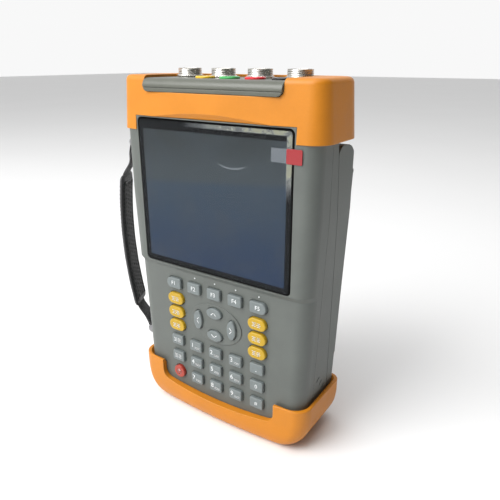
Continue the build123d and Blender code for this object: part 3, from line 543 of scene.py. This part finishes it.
connector_count = 4
connector_around = 96
collar_tall = 1.2 * millimetre
collar_extra = 0.9 * millimetre
barrel_wall = 1.2 * millimetre
thread_pitch = 1.0 * millimetre
thread_depth = 0.28 * millimetre
thread_start = 0.3 * millimetre
thread_rings = 30
knurl_depth = 0.12 * millimetre
mouth_edge = 0.15 * millimetre
key_half = math.radians(9)
key_depth = 0.7 * millimetre
shell_edge = 0.35 * millimetre


def connector_radius_at(base, low, high, height, angle):
    """The thread's own radius at a height, with its turns rising round the barrel."""
    if not low < height < high:
        return base
    turn = (height / thread_pitch + angle / (2 * math.pi)) % 1.0
    return base - thread_depth * abs(2 * turn - 1)


def make_connectors(finishes):
    """Threaded shells with a knurled collar and an inner key, in place of the plain ones."""
    low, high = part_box("connector_shells")
    insert_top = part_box("connector_inserts")[1].z
    panel_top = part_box("connector_panel")[1].z
    collar_radius = (high.y - low.y) / 2
    middle_y = (high.y + low.y) / 2
    barrel = collar_radius - collar_extra
    bore = barrel - barrel_wall
    pitch = (high.x - low.x - 2 * collar_radius) / (connector_count - 1)
    around = connector_around
    edge = shell_edge
    collar_top = panel_top + collar_tall
    thread_low = collar_top + thread_start
    thread_high = high.z - edge
    outside = [(barrel, low.z), (barrel, panel_top), (collar_radius - edge, panel_top)]
    outside += [(collar_radius, panel_top + edge), (collar_radius, collar_top - edge)]
    outside += [(collar_radius - edge, collar_top), (barrel, collar_top)]
    for index in range(thread_rings + 1):
        outside.append((barrel, thread_low + (thread_high - thread_low) * index / thread_rings))
    outside += [(barrel - edge, high.z), (bore + mouth_edge, high.z)]
    inside = [(bore, high.z - edge), (bore, insert_top + edge), (bore, insert_top), (bore, low.z)]
    rings = len(outside) + len(inside)
    for number in range(connector_count):
        middle_x = low.x + collar_radius + number * pitch
        vertices = []
        for index, (radius, height) in enumerate(outside + inside):
            for step in range(around):
                angle = 2 * math.pi * step / around
                r = connector_radius_at(radius, thread_low, thread_high, height, angle)
                if collar_radius - 0.1 * millimetre < radius:
                    r -= knurl_depth * (step % 2)
                off_key = abs((angle - 1.5 * math.pi + math.pi) % (2 * math.pi) - math.pi)
                if index >= len(outside) and off_key < key_half and height < high.z - 2 * edge:
                    r -= key_depth
                place = (middle_x + r * math.cos(angle), middle_y + r * math.sin(angle), height)
                vertices.append(place)
        faces = tube_faces(rings, around, closed_ends=False)
        last = (rings - 1) * around
        for step in range(around):
            after = (step + 1) % around
            faces.append((step, last + step, last + after, after))
        name = f"connector_shell_{number + 1}"
        metal = finishes["connector_metal"]
        shell = add_mesh(name, vertices, faces, metal, smooth=False)
        if number == 0:
            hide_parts("connector_shells")


# --------------------------------------------------------------------- hand strap

strap_turn = math.radians(27.0)
strap_way = Vector((-math.sin(strap_turn), math.cos(strap_turn), 0.0))
pad_thick = 5.2 * millimetre
pad_width = 23.6 * millimetre
pad_lean = 4.65 * millimetre
pad_bulge_share = 0.72
pad_end_round = 5.0 * millimetre
lining_margin = 4.2 * millimetre
lining_thick = 0.5 * millimetre
hole_pitch_along = 3.4 * millimetre
hole_rows = 4
piping_radius = 0.55 * millimetre
stitch_pitch = 3.2 * millimetre
stitch_length = 2.2 * millimetre
stitch_radius = 0.22 * millimetre
stitch_steps = 4
web_width = 14.0 * millimetre
web_thick = 1.4 * millimetre
web_inset = 2.0 * millimetre
bar_stand_off = 5.0 * millimetre
bar_low_in = 0.4 * millimetre
bar_ear = 3.0 * millimetre
bar_loop = 2.4 * millimetre
web_in_pad = 9.0 * millimetre
web_past_pad = 0.5 * millimetre
web_layer_gap = 1.15 * web_thick
loop_turn = 1.35 * math.pi
loop_steps = 18
# Where each length of webbing bends between its bar and the pad, from its bar, in millimetres
high_bends = ((-2.4, -8.0), (-3.6, -16.0))
low_bends = ((-1.5, 3.5), (-5.0, 8.5))


class PadPath:
    """The pad's middle line, a circular arc in the side view, and places measured from it."""

    def __init__(self):
        low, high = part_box("strap_pad")
        self.front = low.y
        start = (high.x - pad_thick / 2, low.z)
        leftmost = low.x + pad_thick / 2 - pad_width * strap_way.x
        middle = (leftmost, low.z + pad_bulge_share * (high.z - low.z))
        end = (start[0] - pad_lean, high.z)
        (ax, az), (bx, bz), (cx, cz) = start, middle, end
        d = 2 * (ax * (bz - cz) + bx * (cz - az) + cx * (az - bz))
        squares = (ax * ax + az * az, bx * bx + bz * bz, cx * cx + cz * cz)
        self.x = (squares[0] * (bz - cz) + squares[1] * (cz - az) + squares[2] * (az - bz)) / d
        self.z = (squares[0] * (cx - bx) + squares[1] * (ax - cx) + squares[2] * (bx - ax)) / d
        self.radius = math.hypot(ax - self.x, az - self.z)
        self.first = math.atan2(az - self.z, self.x - ax)
        self.last = math.atan2(cz - self.z, self.x - cx)
        self.length = self.radius * (self.last - self.first)

    def at(self, along, across, out):
        """A place: along the arc, across the strap from its middle, and outwards from the case."""
        angle = self.first + along / self.radius
        reach = self.radius + out
        place = Vector((self.x - reach * math.cos(angle), self.front, self.z + reach * math.sin(angle)))
        return place + strap_way * (across + pad_width / 2)

    def skin(self, along, across, lift=0.0, side=-1):
        """A place on the pad's inner or outer skin, lifted off it."""
        share = min(abs(across) / (pad_width / 2), 1.0)
        crown = (1 - share**3) ** (1 / 3)
        swell = self.swell(along)
        return self.at(along, across, side * (pad_thick / 2 * crown * swell + lift))

    def swell(self, along):
        """How full the pad is: it closes roundly at both ends and is slightly slack between."""
        to_end = min(along, self.length - along)
        closing = math.sqrt(max(0.0, 1 - max(0.0, 1 - to_end / pad_end_round) ** 2))
        return closing * (1.0 - 0.05 * math.sin(along / self.length * math.pi * 5) ** 2)


def rounded_ring(path, along, around):
    """One section of the padded sleeve, slimmer and narrower where the pad closes at its ends."""
    ring = []
    swell = max(path.swell(along), 0.12)
    narrow = 1.0 - 0.22 * (1.0 - swell)
    for step in range(around):
        angle = 2 * math.pi * step / around
        c, s = math.cos(angle), math.sin(angle)
        across = math.copysign(abs(c) ** (2 / 3), c) * pad_width / 2 * narrow
        out = math.copysign(abs(s) ** (2 / 3), s) * pad_thick / 2 * swell
        ring.append(path.at(along, across, out))
    return ring


def make_pad(finishes, path):
    """The padded sleeve: a crowned closed form with a slack, softly rippled skin."""
    around, stations = 48, 90
    vertices = []
    for index in range(stations + 1):
        share = index / stations
        eased = 0.5 - 0.5 * math.cos(math.pi * share)
        along = path.length * (0.7 * share + 0.3 * eased)
        vertices += rounded_ring(path, along, around)
    faces = tube_faces(stations + 1, around)
    pad = add_mesh("strap_sleeve", vertices, faces, finishes["strap_padding"])
    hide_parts("strap_pad")


def hole_cell(path, along, across, half_along, half_across, corners):
    """The vertices of one square of lining around an oval hole: border, hole and the same again below."""
    points = []
    for lift in (lining_thick, 0.0):
        for share in (1.0, 0.0):
            for corner in range(corners):
                angle = 2 * math.pi * (corner + 0.5) / corners
                c, s = math.cos(angle), math.sin(angle)
                square = 1 / max(abs(c), abs(s))
                reach_along = half_along * (square if share else 0.62)
                reach_across = half_across * (square if share else 0.34)
                points.append(path.skin(along + c * reach_along, across + s * reach_across, lift))
    return points


def make_lining(finishes, path):
    """The perforated inner face, with staggered oval holes right through it."""
    corners = 12
    half_wide = pad_width / 2 - lining_margin
    half_across = half_wide / hole_rows
    start = pad_end_round + 1.0 * millimetre
    count = int((path.length - 2 * start) / hole_pitch_along)
    half_along = (path.length - 2 * start) / count / 2
    vertices, faces = [], []
    for row in range(hole_rows):
        across = -half_wide + half_across * (2 * row + 1)
        shift = half_along * (row % 2)
        for index in range(count - row % 2):
            first = len(vertices)
            along = start + shift + half_along * (2 * index + 1)
            vertices += hole_cell(path, along, across, half_along, half_across, corners)
            for corner in range(corners):
                after = (corner + 1) % corners
                top_border, top_hole, low_hole = (first + layer * corners for layer in (0, 1, 3))
                faces.append((top_border + corner, top_border + after, top_hole + after, top_hole + corner))
                faces.append((top_hole + corner, top_hole + after, low_hole + after, low_hole + corner))
    add_mesh("strap_lining", vertices, faces, finishes["lining"], smooth=False)


def tube_along(points, radius, around=8, closed=False):
    """A round cord through points."""
    vertices = []
    count = len(points)
    for index, point in enumerate(points):
        before = points[(index - 1) % count] if closed else points[max(index - 1, 0)]
        after = points[(index + 1) % count] if closed else points[min(index + 1, count - 1)]
        way = (after - before).normalized()
        side = way.cross(strap_way if abs(way.dot(strap_way)) < 0.9 else Vector((1, 0, 0))).normalized()
        up = way.cross(side)
        for step in range(around):
            angle = 2 * math.pi * step / around
            vertices.append(point + (side * math.cos(angle) + up * math.sin(angle)) * radius)
    faces = tube_faces(count, around, closed_ends=not closed)
    if closed:
        last = (count - 1) * around
        faces += [(last + s, last + (s + 1) % around, (s + 1) % around, s) for s in range(around)]
    return vertices, faces


def make_piping(finishes, path):
    """A thin cord sewn round the lining."""
    half_wide = pad_width / 2 - lining_margin + piping_radius
    start = pad_end_round
    steps = 70
    points = []
    for sign, order in ((-1, range(steps + 1)), (1, reversed(range(steps + 1)))):
        for index in order:
            along = start + (path.length - 2 * start) * index / steps
            points.append(path.skin(along, sign * half_wide, piping_radius * 0.6))
    vertices, faces = tube_along(points, piping_radius, closed=True)
    add_mesh("strap_piping", vertices, faces, finishes["strap_padding"])


def make_stitches(finishes, path):
    """Rows of stitches beside both edges of the pad, inside and outside."""
    vertices, faces = [], []
    half_wide = pad_width / 2 - lining_margin + 3 * piping_radius
    count = int((path.length - 2 * pad_end_round) / stitch_pitch)
    for side in (-1, 1):
        for sign in (-1, 1):
            for index in range(count):
                along = pad_end_round + index * stitch_pitch
                points = []
                for step in range(stitch_steps + 1):
                    share = step / stitch_steps
                    lift = stitch_radius * (1.1 * math.sin(math.pi * share) - 0.2)
                    here = along + stitch_length * share
                    points.append(path.skin(here, sign * half_wide, lift, side))
                more, quads = tube_along(points, stitch_radius, around=6)
                first = len(vertices)
                vertices += more
                faces += [tuple(first + i for i in face) for face in quads]
    add_mesh("strap_stitches", vertices, faces, finishes["thread"])


def smooth_line(points, steps):
    """A Catmull-Rom line through flat points."""
    line = []
    for index in range(len(points) - 1):
        p0 = points[max(index - 1, 0)]
        p1, p2 = points[index], points[index + 1]
        p3 = points[min(index + 2, len(points) - 1)]
        for step in range(steps):
            t = step / steps
            line.append(0.5 * (2 * p1 + (p2 - p0) * t + (2 * p0 - 5 * p1 + 4 * p2 - p3) * t * t
                               + (3 * p1 - p0 - 3 * p2 + p3) * t * t * t))
    line.append(points[-1])
    return line


def ribbon(name, line, front, finishes):
    """Flat webbing of even width and thickness along a line in the side view."""
    half = web_thick / 2
    profile = ((0.0, -0.5), (0.03, -1.0), (0.5, -1.0), (0.97, -1.0), (1.0, -0.5), (1.0, 0.5), (0.97, 1.0),
               (0.5, 1.0), (0.03, 1.0), (0.0, 0.5))
    vertices, uvs = [], []
    gone = 0.0
    for index, point in enumerate(line):
        before, after = line[max(index - 1, 0)], line[min(index + 1, len(line) - 1)]
        way = (after - before).normalized()
        gone += (point - before).length if index else 0.0
        for across, out in profile:
            flat = point + Vector((-way.y, way.x)) * out * half
            place = Vector((flat.x, front, flat.y)) + strap_way * (across * web_width)
            vertices.append(place)
            uvs.append((gone, across * web_width + out * half))
    faces = tube_faces(len(line), len(profile))
    return add_mesh(name, vertices, faces, finishes["strap_webbing"], uvs=uvs)


def make_webbing(finishes, path):
    """Two lengths of webbing, each sewn into an end of the pad and looped round its anchor bar."""
    case_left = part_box("front_shell")[0].x
    anchor_low, anchor_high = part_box("strap_anchors")
    front = path.front + web_inset
    high_bar = Vector((case_left - bar_stand_off, anchor_high.z - bar_ear))
    low_bar = Vector((case_left - bar_low_in, anchor_low.z + bar_ear))
    for name, along, bar, way, bends in (
        ("strap_web_high", path.length, high_bar, 1, high_bends),
        ("strap_web_low", 0.0, low_bar, -1, low_bends),
    ):
        inside = path.at(along - way * web_in_pad, 0, 0)
        end = path.at(along + way * web_past_pad, 0, 0)
        to_front = pad_width / 2 * math.sin(strap_turn)
        tail = [Vector((place.x + to_front, place.z)) for place in (inside, end)]
        leave = Vector((bar.x - bar_loop, bar.y))
        bent = [leave + millimetre * Vector(bend) for bend in bends]
        line = smooth_line([*tail, *reversed(bent), leave], 10)
        for step in range(1, loop_steps + 1):
            angle = math.pi - way * loop_turn * step / loop_steps
            line.append(bar + bar_loop * Vector((math.cos(angle), math.sin(angle))))
        back = [place + Vector((web_layer_gap, 0.0)) for place in bent]
        line += smooth_line([line[-1], *back], 8)[1:]
        piece = ribbon(name, line, front, finishes)
        if way > 0:
            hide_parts("strap_webbing")


def make_strap(finishes):
    """The hand strap: sleeve, lining, piping, stitches and webbing."""
    path = PadPath()
    make_pad(finishes, path)
    make_lining(finishes, path)
    make_piping(finishes, path)
    make_stitches(finishes, path)
    make_webbing(finishes, path)


# ------------------------------------------------------------------- key markings

ink_thick = 0.06 * millimetre
ink_line = 0.45 * millimetre
text_size = 4.2 * millimetre
digit_size = 5.0 * millimetre
dot_radius = 0.5 * millimetre
dot_above_key = 2.6 * millimetre


def text_outline(body, size):
    """The triangles of a short text, flat, about its own middle: x to the right, y up."""
    curve = bpy.data.curves.new("lettering", "FONT")
    curve.body = body
    curve.size = size
    curve.align_x = "CENTER"
    curve.align_y = "CENTER"
    curve.resolution_u = 4
    curve.extrude = ink_thick
    maker = bpy.data.objects.new("lettering", curve)
    bpy.context.scene.collection.objects.link(maker)
    bpy.context.view_layer.update()
    mesh = bpy.data.meshes.new_from_object(maker)
    vertices = [v.co.copy() for v in mesh.vertices]
    faces = [tuple(p.vertices) for p in mesh.polygons]
    bpy.data.objects.remove(maker)
    bpy.data.curves.remove(curve)
    bpy.data.meshes.remove(mesh)
    return vertices, faces


def stroke_outline(points, width):
    """A line of even width through points, flat, with square ends."""
    vertices, faces = [], []
    for start, end in zip(points, points[1:]):
        start, end = Vector(start), Vector(end)
        way = (end - start).normalized()
        side = Vector((-way.y, way.x)) * width / 2
        first = len(vertices)
        for depth in (-ink_thick, ink_thick):
            for corner in (start - way * width / 2 - side, end + way * width / 2 - side,
                           end + way * width / 2 + side, start - way * width / 2 + side):
                vertices.append(Vector((corner.x, corner.y, depth)))
        faces += [tuple(first + i for i in face) for face in
                  ((0, 3, 2, 1), (4, 5, 6, 7), (0, 1, 5, 4), (1, 2, 6, 5), (2, 3, 7, 6), (3, 0, 4, 7))]
    return vertices, faces


def bar_marks(columns, rows, width, height, gap):
    """A small generic label of short bars, in place of words."""
    parts = []
    for column in range(columns):
        x = (column - (columns - 1) / 2) * (width + gap)
        for row in range(rows):
            y = ((rows - 1) / 2 - row) * height / max(rows - 1, 1)
            half = width / 2 * (1.0 if (row + column) % 2 == 0 else 0.72)
            parts.append(stroke_outline([(x - half, y), (x + half, y)], ink_line))
        parts.append(stroke_outline([(x, -height / 2), (x, height / 2)], ink_line))
    return parts


def power_marks(radius):
    """A broken ring with a bar in its gap."""
    gap = math.radians(35)
    steps = 20
    ring = []
    for step in range(steps + 1):
        angle = math.pi / 2 + gap + (2 * math.pi - 2 * gap) * step / steps
        ring.append((radius * math.cos(angle), radius * math.sin(angle)))
    return [stroke_outline(ring, ink_line), stroke_outline([(0, 0.1 * radius), (0, 1.15 * radius)], ink_line)]


def chevron(way_x, way_y, reach):
    """An arrow head that points along a way."""
    across_x, across_y = -way_y, way_x
    tip = (way_x * reach * 0.45, way_y * reach * 0.45)
    ends = [
        (sign * across_x * reach - way_x * reach * 0.45, sign * across_y * reach - way_y * reach * 0.45)
        for sign in (-1, 1)
    ]
    return [stroke_outline([ends[0], tip, ends[1]], ink_line * 1.2)]


def moved(part, x, y):
    """A flat mark moved sideways and up."""
    vertices, faces = part
    return [v + Vector((x, y, 0)) for v in vertices], faces


def mark_key(finishes, node, parts):
    """Prints parts on the front of a key, as one piece that moves with it."""
    low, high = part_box(node)
    middle = Vector(((low.x + high.x) / 2, low.y - ink_thick * 0.6, (low.z + high.z) / 2))
    vertices, faces = [], []
    for part_vertices, part_faces in parts:
        first = len(vertices)
        vertices += [Vector((middle.x + v.x, middle.y - v.z, middle.z + v.y)) for v in part_vertices]
        faces += [tuple(first + i for i in face) for face in part_faces]
    add_mesh(f"mark_{node}", vertices, faces, finishes["ink"], body=node, smooth=False)


def make_dots(finishes):
    """Small raised dots on the case above four of the function keys."""
    vertices, faces = [], []
    around = 16
    for number in range(2, 6):
        low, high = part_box(f"key_f{number}")
        case_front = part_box("key_f3")[0].y + 0.0024
        middle = Vector(((low.x + high.x) / 2, case_front, high.z + dot_above_key))
        first = len(vertices)
        for depth, grow in ((0.0003, 1.0), (-0.0001, 1.0), (-0.00018, 0.6)):
            for step in range(around):
                angle = 2 * math.pi * step / around
                reach = dot_radius * grow
                vertices.append(middle + Vector((reach * math.cos(angle), depth, reach * math.sin(angle))))
        faces += [tuple(first + i for i in face) for face in tube_faces(3, around)]
    add_mesh("case_dots", vertices, faces, finishes["ink"])


def make_markings(finishes):
    """Generic marks on the keys, and the dots above the function keys."""
    make_dots(finishes)
    for number in range(1, 6):
        mark_key(finishes, f"key_f{number}", [text_outline(f"F{number}", text_size)])
    mark_key(finishes, "key_0", [text_outline("0", text_size)])
    for number in range(1, 10):
        digit = moved(text_outline(str(number), digit_size), -0.0027, 0.0006)
        bars = [moved(part, 0.0016, -0.0010) for part in bar_marks(3, 2, 0.0011, 0.0012, 0.0004)]
        mark_key(finishes, f"key_{number}", [digit] + bars)
    mark_key(finishes, "key_point", [text_outline(".", 0.0060)])
    mark_key(finishes, "key_hash", [text_outline("#", 0.0040)])
    for side in ("left", "right"):
        for number in (1, 2, 3):
            mark_key(finishes, f"key_yellow_{side}_{number}", bar_marks(2, 3, 0.0026, 0.0026, 0.0010))
    for node in ("key_select", "key_return"):
        mark_key(finishes, node, bar_marks(2, 3, 0.0026, 0.0026, 0.0008))
    mark_key(finishes, "key_power", power_marks(0.0018))
    for node, way in (("up", (0, 1)), ("down", (0, -1)), ("left", (-1, 0)), ("right", (1, 0))):
        mark_key(finishes, f"key_{node}", chevron(*way, 0.0021))


# --------------------------------------------------------------------- stage and run


def make_floor():
    """The floor plane, just under the object, kept out of the model."""
    corners = [(-floor_half, -floor_half, 0), (floor_half, -floor_half, 0)]
    corners += [(floor_half, floor_half, 0), (-floor_half, floor_half, 0)]
    mesh = bpy.data.meshes.new("floor")
    mesh.from_pydata(corners, [], [(0, 1, 2, 3)])
    mesh.materials.append(floor_paint())
    floor = bpy.data.objects.new("floor", mesh)
    bpy.context.scene.collection.objects.link(floor)
    floor.location.z = -floor_drop


finishes = make_finishes()
paint_nodes(finishes)
make_connectors(finishes)
make_strap(finishes)
make_markings(finishes)
make_floor()
make_world()
make_camera()
for lamp in lamps:
    make_lamp(*lamp)
bpy.context.scene.view_settings.view_transform = "Standard"
